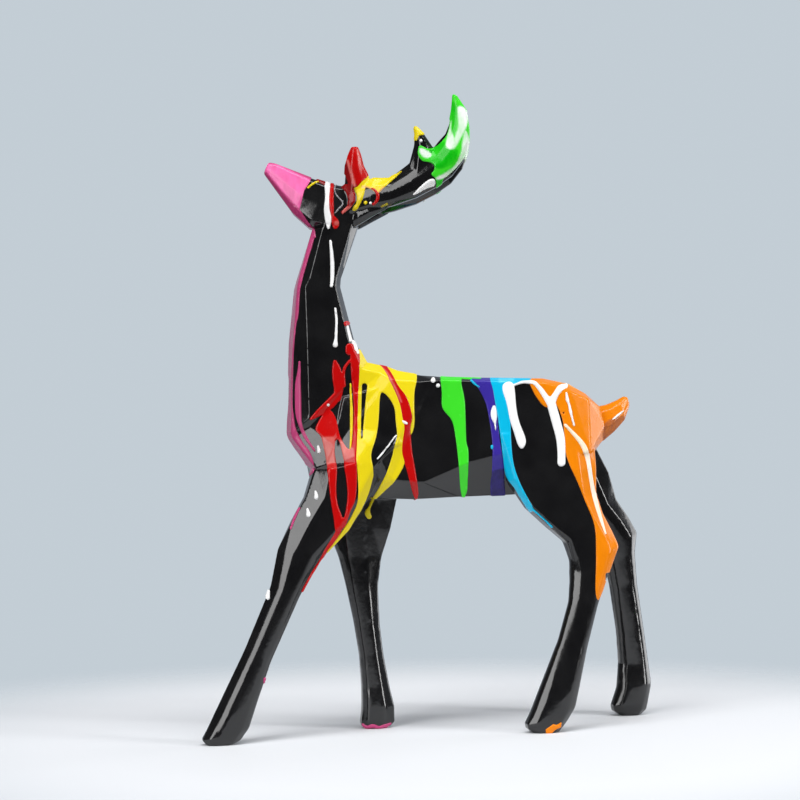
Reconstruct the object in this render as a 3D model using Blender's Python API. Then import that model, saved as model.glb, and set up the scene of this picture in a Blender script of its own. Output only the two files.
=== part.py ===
"""A geometric deer statue, cast in one piece: a faceted standing deer with its head raised and turned.

Metres, +Z up. The deer walks toward -X and its left side faces -Y. The origin is on the surface that it
stands on, under the middle of its box. The pose is drawn once, in millimetres on a figure of
DRAWN_LENGTH by DRAWN_HEIGHT, and every side-view point passes through side(), which scales it.
"""

import math

import bmesh
import bpy
from mathutils import Vector

# Driving dimensions, in metres.
HEIGHT = 0.356
LENGTH = 0.274
BODY_WIDTH = 0.050
NECK_WIDTH = 0.031
HEAD_WIDTH = 0.027
LEG_WIDTH = 0.015
FRONT_TRACK = 0.040
HIND_TRACK = 0.056
ANTLER_SPREAD = 0.030
ANTLER_WIDTH = 0.0125
BROW_TINE_WIDTH = 0.008
EAR_SPREAD = 0.024
EAR_WIDTH = 0.008
TAIL_WIDTH = 0.017
HEAD_TURN = math.radians(13.5)

# The figure that the side-view points are drawn on, in millimetres.
DRAWN_HEIGHT = 356.0
DRAWN_LENGTH = 274.0
HEAD_PIVOT = (-66.0, 0.0)

BLACK_RESIN = (0.012, 0.012, 0.013, 1.0)

# A station is one cross-section: its low or front point, its high or rear point, and a profile of
# (share of the way between them, half width as a share of the section's own half width).


def side(point, across=0.0):
    """A drawn side-view point (mm) as a place in the figure (m), the given distance off the middle plane."""
    return Vector((point[0] * LENGTH / DRAWN_LENGTH, across, point[1] * HEIGHT / DRAWN_HEIGHT))


def turned(point, share):
    """A place swung about the vertical line through the head's pivot, by a share of the head's turn."""
    pivot = side(HEAD_PIVOT)
    angle = -HEAD_TURN * share
    offset = point - pivot
    return pivot + Vector((
        offset.x * math.cos(angle) - offset.y * math.sin(angle),
        offset.x * math.sin(angle) + offset.y * math.cos(angle),
        offset.z,
    ))


def ring(low, high, profile, half_width, centre=0.0, turn=0.0, bow=0.0):
    """The closed loop of points of one station, near side then far side; bow bends its middle backward (mm)."""
    near = []
    far = []
    for share, width in profile:
        x, z = (a + (b - a) * share for a, b in zip(low, high))
        drawn = (x + bow * 4 * share * (1 - share), z)
        near.append(turned(side(drawn, centre - width * half_width), turn))
        far.append(turned(side(drawn, centre + width * half_width), turn))
    return near + far[::-1]


def loft(name, rings):
    """A closed faceted solid through rings of equally many points, capped flat at both ends."""
    shape = bmesh.new()
    loops = [[shape.verts.new(point) for point in points] for points in rings]
    for first, second in zip(loops, loops[1:]):
        count = len(first)
        for i in range(count):
            j = (i + 1) % count
            shape.faces.new((first[i], first[j], second[j], second[i]))
    shape.faces.new(loops[0])
    shape.faces.new(loops[-1][::-1])
    bmesh.ops.recalc_face_normals(shape, faces=shape.faces)
    bmesh.ops.triangulate(shape, faces=shape.faces, quad_method="SHORT_EDGE", ngon_method="BEAUTY")
    mesh = bpy.data.meshes.new(name)
    shape.to_mesh(mesh)
    shape.free()
    return bpy.data.objects.new(name, mesh)


def trunk():
    """Neck, chest, barrel and rump in one run, from inside the head to the root of the tail."""
    neck = NECK_WIDTH / 2
    body = BODY_WIDTH / 2
    throat = ((0.0, 0.60), (0.22, 1.0), (0.86, 0.92), (1.0, 0.46))
    collar = ((0.0, 0.58), (0.14, 1.0), (0.85, 0.92), (1.0, 0.46))
    mid_neck = ((0.0, 0.55), (0.18, 1.0), (0.87, 0.83), (1.0, 0.41))
    chest = ((0.0, 0.36), (0.20, 0.66), (0.90, 0.66), (1.0, 0.34))
    breast = ((0.0, 0.33), (0.16, 0.53), (0.90, 0.64), (1.0, 0.36))
    shoulder = ((0.0, 0.54), (0.22, 0.77), (0.90, 0.76), (1.0, 0.44))
    withers = ((0.0, 0.50), (0.30, 1.04), (0.94, 0.82), (1.0, 0.56))
    ribs = ((0.0, 0.46), (0.15, 0.97), (0.96, 0.84), (1.0, 0.60))
    barrel = ((0.0, 0.46), (0.14, 0.96), (0.97, 0.84), (1.0, 0.62))
    flank = ((0.0, 0.44), (0.30, 0.96), (0.97, 0.88), (1.0, 0.64))
    rump = ((0.0, 0.42), (0.42, 1.0), (0.96, 0.82), (1.0, 0.60))
    haunch = ((0.0, 0.42), (0.22, 1.0), (0.92, 0.78), (1.0, 0.54))
    stations = (
        ((-73.5, 291.0), (-57.0, 293.0), throat, neck * 0.62, 1.0),
        ((-78.6, 282.6), (-53.6, 284.2), throat, neck * 0.82, 0.9),
        ((-87.6, 254.4), (-64.2, 254.9), throat, neck * 0.92, 0.35),
        ((-88.8, 249.6), (-64.8, 250.2), collar, neck * 0.97, 0.28),
        ((-91.8, 219.1), (-57.8, 221.0), mid_neck, neck * 1.20, 0.15),
        ((-93.7, 168.5), (-50.8, 207.4), chest, body * 0.90, 0.0),
        ((-92.8, 165.6), (-39.0, 204.9), breast, body * 0.96, 0.0),
        ((-80.3, 147.8), (-34.0, 202.6), shoulder, body, 0.0),
        ((-58.0, 133.0), (-21.2, 200.2), withers, body * 0.96, 0.0),
        ((-46.0, 131.6), (-14.2, 199.7), ribs, body * 0.92, 0.0),
        ((-25.0, 130.6), (-5.4, 199.0), barrel, body * 0.86, 0.0),
        ((0.5, 131.6), (17.0, 198.4), flank, body * 0.84, 0.0),
        ((33.3, 132.4), (50.0, 197.8), rump, body * 0.98, 0.0),
        ((56.0, 139.0), (64.9, 194.8), haunch, body * 1.06, 0.0),
        ((74.0, 148.0), (75.5, 189.2), haunch, body * 0.98, 0.0),
        ((88.2, 163.0), (85.3, 182.3), rump, body * 0.48, 0.0),
    )
    rings = [ring(low, high, profile, width, 0.0, turn) for low, high, profile, width, turn in stations]
    return loft("trunk", rings)


def head():
    """A wedge from the square nose to the back of the skull, with a chevron crease on the cheek."""
    half = HEAD_WIDTH / 2
    muzzle = ((0.0, 0.56), (0.12, 0.92), (0.45, 1.0), (0.90, 0.86), (1.0, 0.60))
    cheek = ((0.0, 0.50), (0.12, 0.94), (0.50, 1.0), (0.90, 0.84), (1.0, 0.56))
    stations = (
        ((-105.7, 315.3), (-103.0, 321.0), muzzle, half * 0.40, 0.0),
        ((-103.9, 312.8), (-99.6, 320.2), muzzle, half * 0.48, 0.0),
        ((-89.7, 292.7), (-79.2, 311.6), muzzle, half * 0.84, 0.0),
        ((-80.7, 284.4), (-69.7, 308.5), cheek, half * 0.92, 0.0),
        ((-69.5, 281.6), (-63.6, 307.2), cheek, half * 1.00, 4.6),
        ((-57.0, 282.2), (-50.5, 305.4), cheek, half * 0.86, 0.0),
        ((-50.5, 289.0), (-46.5, 299.0), cheek, half * 0.42, 0.0),
    )
    rings = [
        ring(low, high, profile, width, turn=1.0, bow=bow) for low, high, profile, width, bow in stations
    ]
    return loft("head", rings)


def plain_front(bevel):
    """A leg's usual front: one bevel, of the given share of the section, and a low ridge along the side."""
    return 0.44, bevel, 0.88, 0.58


def leg(name, stations, track, hip_share, rear_ridge=(0.78, 0.93)):
    """One leg from inside the trunk down to its flat sole, leaning out from the hip to its track."""
    rings = []
    for front, rear, width, (edge, bevel, shoulder, ridge), spread in stations:
        profile = ((0.0, edge), (bevel, shoulder), (ridge, 1.0), rear_ridge, (1.0, 0.42))
        centre = track / 2 * (hip_share + (1.0 - hip_share) * spread)
        rings.append(ring(front, rear, profile, LEG_WIDTH / 2 * width, centre))
    return loft(name, rings)


# Front point, rear point, half width, front facets and how far the leg has spread from the hip's width (0)
# to the track's (1). The front facets are the width of the front edge, the place and width of the first
# bevel's end, and the place of the side ridge, where the section has its full width.
FRONT_LEFT_LEG = (
    ((-66.0, 188.0), (-34.0, 196.0), 0.50, plain_front(0.16), -0.6),
    ((-70.0, 171.0), (-20.0, 182.0), 0.40, plain_front(0.16), -0.2),
    ((-72.0, 160.0), (-31.0, 162.0), 1.32, (0.30, 0.03, 0.36, 0.42), 0.0),
    ((-76.0, 150.8), (-42.0, 151.6), 1.40, (0.06, 0.03, 0.12, 0.44), 0.1),
    ((-83.8, 148.0), (-43.4, 148.4), 1.42, (0.44, 0.02, 0.50, 0.20), 0.1),
    ((-88.6, 133.1), (-54.4, 130.2), 1.32, (0.42, 0.03, 0.47, 0.28), 0.3),
    ((-96.0, 120.4), (-64.6, 115.4), 1.16, (0.36, 0.04, 0.42, 0.27), 0.5),
    ((-104.4, 104.4), (-81.2, 98.4), 1.02, (0.10, 0.14, 0.62, 0.36), 0.7),
    ((-108.8, 84.2), (-92.6, 78.6), 0.94, (0.10, 0.20, 0.70, 0.42), 0.8),
    ((-123.4, 50.6), (-108.9, 43.6), 0.88, (0.10, 0.20, 0.70, 0.42), 0.9),
    ((-144.4, 7.8), (-116.6, 22.4), 1.00, (0.26, 0.16, 0.74, 0.36), 1.0),
    ((-146.9, 3.0), (-121.2, 8.6), 0.96, (0.40, 0.14, 0.80, 0.36), 1.0),
    ((-145.3, 1.0), (-126.2, 2.2), 0.86, (0.44, 0.14, 0.84, 0.36), 1.0),
    ((-143.2, 0.0), (-130.5, 0.0), 0.74, (0.44, 0.14, 0.84, 0.36), 1.0),
)

FRONT_RIGHT_LEG = (
    ((-66.0, 188.0), (-34.0, 196.0), 0.50, plain_front(0.20), -0.6),
    ((-82.0, 171.0), (-20.0, 180.0), 0.66, plain_front(0.22), -0.2),
    ((-81.5, 156.0), (-28.0, 158.0), 1.40, plain_front(0.22), 0.0),
    ((-77.5, 134.0), (-29.6, 131.5), 1.35, plain_front(0.24), 0.2),
    ((-69.6, 116.0), (-33.4, 113.5), 1.18, plain_front(0.24), 0.5),
    ((-62.8, 98.0), (-38.4, 97.0), 1.02, plain_front(0.22), 0.7),
    ((-58.9, 82.5), (-40.4, 80.5), 0.94, plain_front(0.20), 0.8),
    ((-54.4, 61.0), (-39.5, 59.5), 0.88, plain_front(0.20), 0.9),
    ((-51.4, 42.0), (-37.4, 41.5), 0.86, plain_front(0.20), 0.95),
    ((-50.2, 24.0), (-33.9, 22.5), 0.92, plain_front(0.18), 1.0),
    ((-50.2, 12.2), (-31.4, 12.2), 1.02, plain_front(0.18), 1.0),
    ((-51.1, 3.6), (-31.6, 3.6), 0.96, plain_front(0.18), 1.0),
    ((-50.2, 1.0), (-34.0, 1.0), 0.86, plain_front(0.20), 1.0),
    ((-47.6, 0.0), (-36.4, 0.0), 0.74, plain_front(0.20), 1.0),
)

HIND_LEFT_LEG = (
    ((44.0, 190.0), (66.0, 188.0), 0.60, plain_front(0.20), -0.9),
    ((21.0, 166.0), (78.0, 170.0), 1.20, plain_front(0.04), -0.20),
    ((27.4, 141.0), (78.2, 148.0), 1.42, plain_front(0.04), 0.05),
    ((38.0, 124.8), (77.6, 132.5), 1.36, plain_front(0.04), 0.2),
    ((49.4, 114.0), (80.8, 121.0), 1.28, plain_front(0.05), 0.35),
    ((58.6, 105.8), (86.6, 109.4), 1.16, plain_front(0.08), 0.5),
    ((61.8, 95.2), (89.5, 102.6), 1.08, plain_front(0.10), 0.6),
    ((61.3, 83.0), (82.2, 84.6), 0.96, plain_front(0.24), 0.7),
    ((60.0, 72.0), (76.6, 70.2), 0.88, plain_front(0.30), 0.8),
    ((53.2, 51.0), (69.6, 46.4), 0.84, plain_front(0.30), 0.9),
    ((36.4, 12.2), (64.3, 25.6), 1.00, plain_front(0.24), 1.0),
    ((33.0, 5.2), (61.4, 13.2), 1.00, plain_front(0.20), 1.0),
    ((33.6, 2.6), (56.8, 6.4), 0.94, plain_front(0.20), 1.0),
    ((36.8, 0.0), (51.4, 0.0), 0.76, plain_front(0.20), 1.0),
)

HIND_RIGHT_LEG = (
    ((46.0, 190.0), (70.0, 187.0), 0.60, plain_front(0.20), -0.9),
    ((24.0, 167.0), (80.0, 172.0), 1.20, plain_front(0.04), -0.20),
    ((38.0, 146.0), (91.0, 158.0), 1.42, plain_front(0.04), 0.05),
    ((56.0, 130.5), (98.8, 144.5), 1.32, plain_front(0.05), 0.2),
    ((72.0, 117.5), (104.0, 128.2), 1.26, plain_front(0.07), 0.35),
    ((86.0, 107.5), (112.0, 117.6), 1.16, plain_front(0.10), 0.5),
    ((95.0, 98.8), (117.8, 108.4), 1.08, plain_front(0.16), 0.6),
    ((98.8, 90.5), (117.0, 96.5), 0.98, plain_front(0.22), 0.7),
    ((102.2, 77.0), (118.6, 77.6), 0.88, plain_front(0.24), 0.8),
    ((106.3, 50.0), (122.8, 50.6), 0.84, plain_front(0.24), 0.9),
    ((107.8, 31.0), (125.9, 28.6), 0.92, plain_front(0.24), 1.0),
    ((106.6, 16.6), (127.1, 18.2), 1.02, plain_front(0.20), 1.0),
    ((102.8, 6.0), (125.0, 8.4), 1.00, plain_front(0.20), 1.0),
    ((103.6, 2.8), (123.6, 3.4), 0.92, plain_front(0.20), 1.0),
    ((108.0, 0.0), (120.0, 0.0), 0.74, plain_front(0.20), 1.0),
)


def antler_beam(name, hand):
    """The thick faceted beam that sweeps back from the skull and up to the main point."""
    half = ANTLER_WIDTH / 2
    beam = ((0.0, 0.30), (0.19, 0.84), (0.46, 1.0), (0.72, 0.80), (1.0, 0.26))
    stations = (
        ((-58.0, 289.0), (-58.5, 305.5), 0.80, 0.60),
        ((-46.0, 292.0), (-44.0, 310.2), 0.95, 0.72),
        ((-33.5, 294.6), (-35.4, 309.9), 1.00, 0.80),
        ((-20.4, 298.8), (-26.6, 316.2), 1.00, 0.86),
        ((-9.4, 304.4), (-18.0, 323.0), 1.00, 0.90),
        ((-0.4, 310.6), (-11.2, 325.6), 0.98, 0.94),
        ((6.2, 319.0), (-7.4, 330.2), 0.92, 0.98),
        ((9.3, 328.6), (-3.8, 334.0), 0.80, 1.0),
        ((9.3, 337.0), (-1.6, 339.4), 0.66, 1.02),
        ((7.9, 347.0), (0.1, 348.2), 0.46, 1.04),
        ((2.8, 354.8), (0.7, 356.0), 0.20, 1.06),
    )
    rings = [
        ring(low, high, beam, half * width, hand * ANTLER_SPREAD / 2 * spread, 1.0)
        for low, high, width, spread in stations
    ]
    return loft(name, rings)


def middle_tine(name, hand):
    """The short point that forks up from the top of the beam."""
    half = ANTLER_WIDTH / 2
    profile = ((0.0, 0.34), (0.30, 1.0), (0.68, 1.0), (1.0, 0.34))
    stations = (
        ((-8.0, 311.0), (-26.2, 310.0), 0.60),
        ((-11.2, 327.2), (-21.4, 327.4), 0.66),
        ((-15.4, 333.8), (-20.6, 334.0), 0.42),
        ((-19.6, 338.0), (-21.2, 338.4), 0.18),
    )
    centre = hand * ANTLER_SPREAD / 2
    rings = [ring(low, high, profile, half * width, centre, 1.0) for low, high, width in stations]
    return loft(name, rings)


def brow_tine(name, hand):
    """The upright point in front of the beam's base."""
    half = BROW_TINE_WIDTH / 2
    profile = ((0.0, 0.34), (0.36, 1.0), (0.64, 1.0), (1.0, 0.34))
    stations = (
        ((-62.5, 299.0), (-45.5, 301.0), 1.0, 0.60),
        ((-60.3, 308.0), (-47.0, 310.8), 1.0, 0.68),
        ((-59.6, 317.2), (-50.2, 317.2), 0.92, 0.78),
        ((-57.8, 323.0), (-51.4, 322.6), 0.68, 0.86),
        ((-56.0, 327.1), (-53.0, 327.1), 0.30, 0.92),
    )
    rings = [
        ring(low, high, profile, half * width, hand * ANTLER_SPREAD / 2 * spread, 1.0)
        for low, high, width, spread in stations
    ]
    return loft(name, rings)


def ear(name, hand):
    """A short pointed ear that lies back along the underside of the antler."""
    half = EAR_WIDTH / 2
    profile = ((0.0, 0.40), (0.34, 1.0), (0.70, 0.86), (1.0, 0.30))
    stations = (
        ((-59.0, 282.0), (-60.0, 294.0), 0.90, 0.50),
        ((-52.4, 284.8), (-54.0, 295.2), 1.00, 0.78),
        ((-44.6, 289.2), (-47.6, 297.2), 0.84, 0.92),
        ((-36.6, 293.4), (-37.6, 295.6), 0.30, 1.0),
    )
    rings = [
        ring(low, high, profile, half * width, hand * EAR_SPREAD / 2 * spread, 1.0)
        for low, high, width, spread in stations
    ]
    return loft(name, rings)


def tail():
    """A short spade of a tail, raised, with one ridge along each side."""
    half = TAIL_WIDTH / 2
    profile = ((0.0, 0.50), (0.36, 1.0), (0.82, 0.74), (1.0, 0.30))
    stations = (
        ((79.0, 160.0), (80.0, 184.0), 0.96),
        ((89.2, 163.0), (87.4, 182.2), 1.00),
        ((96.0, 168.3), (92.6, 183.0), 0.90),
        ((102.6, 174.8), (99.4, 185.7), 0.62),
        ((106.3, 183.0), (104.8, 188.6), 0.22),
    )
    return loft("tail", [ring(low, high, profile, half * width) for low, high, width in stations])


def resin():
    """Black gloss enamel over the cast."""
    material = bpy.data.materials.new("black_gloss_resin")
    material.use_nodes = True
    shader = material.node_tree.nodes["Principled BSDF"]
    shader.inputs["Base Color"].default_value = BLACK_RESIN
    shader.inputs["Roughness"].default_value = 0.12
    shader.inputs["Metallic"].default_value = 0.0
    material.diffuse_color = BLACK_RESIN
    return material


def forms():
    """Every volume of the figure, each overlapping the one that it grows from."""
    shapes = [
        trunk(),
        head(),
        leg("front_left_leg", FRONT_LEFT_LEG, -FRONT_TRACK, 0.80),
        leg("front_right_leg", FRONT_RIGHT_LEG, FRONT_TRACK, 0.80, (0.68, 0.90)),
        leg("hind_left_leg", HIND_LEFT_LEG, -HIND_TRACK, 0.60),
        leg("hind_right_leg", HIND_RIGHT_LEG, HIND_TRACK, 0.60),
        tail(),
    ]
    for word, hand in (("left", -1.0), ("right", 1.0)):
        shapes.append(antler_beam(word + "_antler", hand))
        shapes.append(middle_tine(word + "_middle_tine", hand))
        shapes.append(brow_tine(word + "_brow_tine", hand))
        shapes.append(ear(word + "_ear", hand))
    return shapes


def move_to_origin(shapes):
    """Shifts the drawn figure so that the middle of its box is over the origin and its soles are at zero."""
    points = [vertex.co for shape in shapes for vertex in shape.data.vertices]
    low = Vector(tuple(min(point[i] for point in points) for i in range(3)))
    high = Vector(tuple(max(point[i] for point in points) for i in range(3)))
    shift = Vector((-(low.x + high.x) / 2, -(low.y + high.y) / 2, -low.z))
    for shape in shapes:
        for vertex in shape.data.vertices:
            vertex.co += shift


def main():
    for old in list(bpy.data.objects):
        bpy.data.objects.remove(old)

    statue_group = bpy.data.collections.new("geometric_deer_statue")
    bpy.context.scene.collection.children.link(statue_group)
    form_group = bpy.data.collections.new("deer_forms")
    bpy.context.scene.collection.children.link(form_group)

    shapes = forms()
    move_to_origin(shapes)

    statue = shapes[0]
    statue.name = "deer_statue"
    statue.data.materials.append(resin())
    statue_group.objects.link(statue)
    for shape in shapes[1:]:
        shape.hide_render = True
        shape.display_type = "WIRE"
        form_group.objects.link(shape)
        join = statue.modifiers.new("join_" + shape.name, "BOOLEAN")
        join.operation = "UNION"
        join.solver = "EXACT"
        join.object = shape


main()
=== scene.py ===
import math

import bmesh
import bpy
import numpy as np
from mathutils import Matrix, Vector

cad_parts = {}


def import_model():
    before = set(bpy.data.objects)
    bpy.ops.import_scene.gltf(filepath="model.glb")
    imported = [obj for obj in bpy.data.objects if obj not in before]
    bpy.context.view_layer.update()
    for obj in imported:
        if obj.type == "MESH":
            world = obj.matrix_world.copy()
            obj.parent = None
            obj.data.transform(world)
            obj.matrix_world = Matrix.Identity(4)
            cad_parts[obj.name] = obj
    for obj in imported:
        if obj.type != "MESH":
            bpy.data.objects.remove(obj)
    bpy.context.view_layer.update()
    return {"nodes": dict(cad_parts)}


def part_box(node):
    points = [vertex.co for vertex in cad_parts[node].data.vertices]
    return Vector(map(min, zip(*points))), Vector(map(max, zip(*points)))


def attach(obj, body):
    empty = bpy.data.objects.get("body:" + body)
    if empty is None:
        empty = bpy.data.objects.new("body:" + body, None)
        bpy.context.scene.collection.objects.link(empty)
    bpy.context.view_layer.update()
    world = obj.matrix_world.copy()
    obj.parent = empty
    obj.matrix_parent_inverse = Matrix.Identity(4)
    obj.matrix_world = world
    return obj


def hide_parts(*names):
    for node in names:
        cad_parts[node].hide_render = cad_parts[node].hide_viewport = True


# The looks of a faceted black deer statue with coloured enamel poured over it.
#
# The cast is the CAD solid with its edges rounded as paint rounds them. Each colour of enamel is one
# raised skin on it. A skin's outline is drawn as poured shapes in the photograph's pixels, carried onto
# the near side through the camera, and onto the far side by mirroring about the figure's middle plane.
# Some thin white and yellow lines are painted highlights, and the enamels' pale and deep tones are mostly
# painted highlight and painted shade.

# The photograph's view, in metres and pixels.
IMAGE_SIZE = 800.0
FOCAL_PIXELS = 1918.0
SENSOR_MM = 36.0
CAMERA_TURN = math.radians(12.93)
CAMERA_PITCH = math.radians(2.0)
CAMERA_ROLL = math.atan(0.0125)
CAMERA_PLACE = np.array((-0.2635, -1.0595, 0.1489))
NEAREST_SEEN = 0.05
FURTHEST_SEEN = 50.0

# The figure, in metres. The head's turn sets in up the neck, by a share at each height. A fade is the
# height over which one part's rules for enamel give way to the next part's.
HEAD_TURN = math.radians(13.5)
HEAD_PIVOT_X = -0.0561
TURN_HEIGHTS = (0.207, 0.220, 0.250, 0.283, 0.291)
TURN_SHARES = (0.0, 0.15, 0.28, 0.9, 1.0)
LEG_TOP = 0.148
LEG_FADE = 0.012
NECK_TOP = 0.285
NECK_FADE = 0.010
BEAM_TOP = 0.328
BEAM_FADE = 0.006

# The cast's surface, in metres. The legs are smoothed further, from above the soles to under the body.
VOXEL = 0.00065
SMOOTHING = 0.5
EDGE_PASSES = 4
LEG_PASSES = 16
SOLE_HEIGHTS = (0.003, 0.010)
LEG_HEIGHTS = (0.095, 0.115)
CAST_TRIANGLES = 150000

# A skin of enamel, in metres, and its smallest island, in square metres. The skin's depth and its edge
# lie below the cast's surface. The rim is rounded over its width, and the mesh is cut at its levels.
SKIN_DEPTH = 0.00025
SKIN_EDGE = 0.00004
RIM = 0.0010
RIM_LEVELS = (0.00015, 0.00040, 0.00085)
SMALLEST_ISLAND = 0.0000012
SKIN_SHARE = 0.6

# How outlines are followed: steps of a curve, distances in pixels, slopes in pixels per metre, and where
# an edge may be cut, as shares of its length.
POOL_STEPS = 5
RUN_STEPS = 3
LEAST_DROP = 0.01
MARGIN = 12.0
KEPT_MARGIN = 4.0
TONE_BLUR = 1.4
SLOPE_RANGE = (250.0, 2500.0)
CUT_RANGE = (0.03, 0.97)

# On the far side the mirrored drips bend. Waves, in pixels, sway them to the side and stretch them
# downward from the back's line, and grow in over a width beyond the middle plane, in metres.
BEND_WIDTH = 0.014
SLOW_SWAY = 5.0
SLOW_WAVE = 31.0
SLOW_START = 0.6
QUICK_SWAY = 3.0
QUICK_WAVE = 17.0
BACK_LINE = 376.0
STRETCH = 0.16
STRETCH_WAVE = 19.0
STRETCH_START = 1.0

# The colours on the front part of the far antler's beam lie further back, in pixels.
BEAM_SHIFT = 14.0
BEAM_SHIFT_END = 430.0
BEAM_SHIFT_FADE = 12.0

# The room for enamel, in pixels. The legs and the far beam have it only on the faces that look outward.
FREE_ROOM = 30.0
FACING_ROOM = 12.0
FACING_START = 0.30
FAR_LEG_LOSS = 0.65
FAR_BEAM_LOSS = 0.55
FAR_START = 0.002
FAR_FADE = 0.002

# The far legs' inner faces have shapes of their own, drawn a shift to the right of the photograph, in
# pixels. They are known by their place, in metres, and by how much they turn to the near side.
INNER_SHIFT = 2000.0
INNER_START = 0.003
INNER_TOP = 0.146
INNER_FACING = 0.1

# The least divisors, for edges and faces that shrink to nothing.
LEAST_EDGE = 1e-9
LEAST_NORMAL = 1e-12
LEAST_SQUARE = 1e-24

# The stage, in metres, and the studio: a dim room with one pale wall, behind the figure to the right.
BACKDROP = (0.547, 0.613, 0.667)
FLOOR = (0.82, 0.84, 0.87)
FLOOR_RADIUS = 3.0
FLOOR_SIDES = 96
FLOOR_FADE = (0.20, 0.44)
LIGHT_DISTANCE = 2.0
LIGHT_CENTRE = Vector((0.0, 0.0, 0.18))
WALL_DIRECTION = (0.64, 0.77, 0.0)
WALL_RANGE = (0.35, 0.9)
WALL_LIGHT = (0.50, 0.55, 0.62)
ROOM_LIGHT = (0.05, 0.05, 0.053)

# The gloss black, with the darker and the paler of its mottle.
BLACK = (0.006, 0.006, 0.0065)
BLACK_DARKER = (0.004, 0.004, 0.0045)
BLACK_PALER = (0.008, 0.008, 0.0085)

# Finishes. The first ranges are where most of a noise's values lie.
NOISE_RANGE = (0.3, 0.7)
STREAK_RANGE = (0.35, 0.65)
CLOUD_RANGE = (0.3, 0.6)
STREAK_STRENGTHS = (0.0, 0.22)
STREAK_SHADE = 0.80
CLOUD_STRENGTHS = (0.55, 1.0)
BLACK_ROUGHNESS = (0.10, 0.19)
ENAMEL_ROUGHNESS = (0.16, 0.28)
COAT_ROUGHNESS = 0.04
ENAMEL_SPECULAR = 0.22
FLOOR_SPECULAR = 0.2
RIPPLE_DETAIL = 2.0


# The view.


def view_axes():
    """The camera's right, up and forward directions."""
    forward = np.array((math.sin(CAMERA_TURN), math.cos(CAMERA_TURN), 0.0))
    right = np.array((math.cos(CAMERA_TURN), -math.sin(CAMERA_TURN), 0.0))
    above = np.array((0.0, 0.0, 1.0))
    look = math.cos(CAMERA_PITCH) * forward + math.sin(CAMERA_PITCH) * above
    over = -math.sin(CAMERA_PITCH) * forward + math.cos(CAMERA_PITCH) * above
    side = math.cos(CAMERA_ROLL) * right - math.sin(CAMERA_ROLL) * over
    head = math.cos(CAMERA_ROLL) * over + math.sin(CAMERA_ROLL) * right
    return side, head, look


def camera():
    """The photograph's camera."""
    side, head, look = view_axes()
    data = bpy.data.cameras.new("camera")
    data.sensor_width = SENSOR_MM
    data.lens = FOCAL_PIXELS / IMAGE_SIZE * SENSOR_MM
    data.clip_start = NEAREST_SEEN
    data.clip_end = FURTHEST_SEEN
    eye = bpy.data.objects.new("camera", data)
    turn = Matrix((side, head, -look)).transposed()
    eye.matrix_world = Matrix.Translation(CAMERA_PLACE) @ turn.to_4x4()
    bpy.context.scene.collection.objects.link(eye)
    bpy.context.scene.camera = eye


def pixels(places):
    """Where places (m) fall in the photograph."""
    side, head, look = view_axes()
    offset = places - CAMERA_PLACE
    depth = offset @ look
    across = IMAGE_SIZE / 2 + FOCAL_PIXELS * (offset @ side) / depth
    down = IMAGE_SIZE / 2 - FOCAL_PIXELS * (offset @ head) / depth
    return np.stack((across, down), axis=1)


# Poured shapes, in the photograph's pixels.


def pool(*corners):
    """A smooth closed outline through the given points."""
    return "outline", rounded(np.array(corners, float), POOL_STEPS)


def patch(*corners):
    """A closed outline with straight sides."""
    return "outline", np.array(corners, float)


def run(*stops):
    """A drip or streak through stops of (x, y, half width)."""
    return "run", rounded(np.array(stops, float), RUN_STEPS, closed=False)


def drop(x, y, radius, length=0.0):
    """A round drop, or an upright bead of the given length."""
    half = length / 2
    return "run", np.array(((x, y - half, radius), (x, y + half + LEAST_DROP, radius)), float)


def inner(shape):
    """A shape for the faces of the far legs that look toward the near side."""
    kind, points = shape
    return kind, points + (INNER_SHIFT, *[0.0] * (points.shape[1] - 1))


def rounded(points, steps, closed=True):
    """A Catmull-Rom curve through points, with the given number of steps from each to the next."""
    count = len(points)
    if closed:
        before, after, beyond = (np.roll(points, shift, axis=0) for shift in (1, -1, -2))
        start = points
    else:
        padded = np.vstack((points[:1], points, points[-1:]))
        before, start, after, beyond = (padded[i:i + count - 1] for i in range(4))
    out = []
    for step in range(steps):
        t = step / steps
        out.append(0.5 * (
            2 * start + (after - before) * t + (2 * before - 5 * start + 4 * after - beyond) * t * t
            + (3 * start - before - 3 * after + beyond) * t ** 3
        ))
    curve = np.stack(out, axis=1).reshape(-1, points.shape[1])
    return curve if closed else np.vstack((curve, points[-1:]))


def nearest(start, end, spots):
    """The share of a straight line where it passes nearest to each spot, and the gap there (pixels)."""
    along = end - start
    share = np.clip((spots - start) @ along / max(along @ along, LEAST_EDGE), 0.0, 1.0)
    return share, np.hypot(*(spots - start - share[:, None] * along).T)


def depth_in_run(stops, spots):
    """How far spots are inside a drip or streak, in pixels."""
    depth = np.full(len(spots), -MARGIN)
    for start, end in zip(stops[:-1], stops[1:]):
        share, gap = nearest(start[:2], end[:2], spots)
        depth = np.maximum(depth, start[2] + (end[2] - start[2]) * share - gap)
    return depth


def depth_in_outline(corners, spots):
    """How far spots are inside a closed outline, in pixels."""
    least = np.full(len(spots), MARGIN)
    inside = np.zeros(len(spots), bool)
    x, y = spots.T
    for start, end in zip(corners, np.roll(corners, -1, axis=0)):
        least = np.minimum(least, nearest(start, end, spots)[1])
        along = end - start
        crosses = (start[1] > y) != (end[1] > y)
        with np.errstate(divide="ignore", invalid="ignore"):
            crossing = start[0] + along[0] * (y - start[1]) / along[1]
        inside ^= crosses & (x < crossing)
    return np.where(inside, least, -least)


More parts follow.
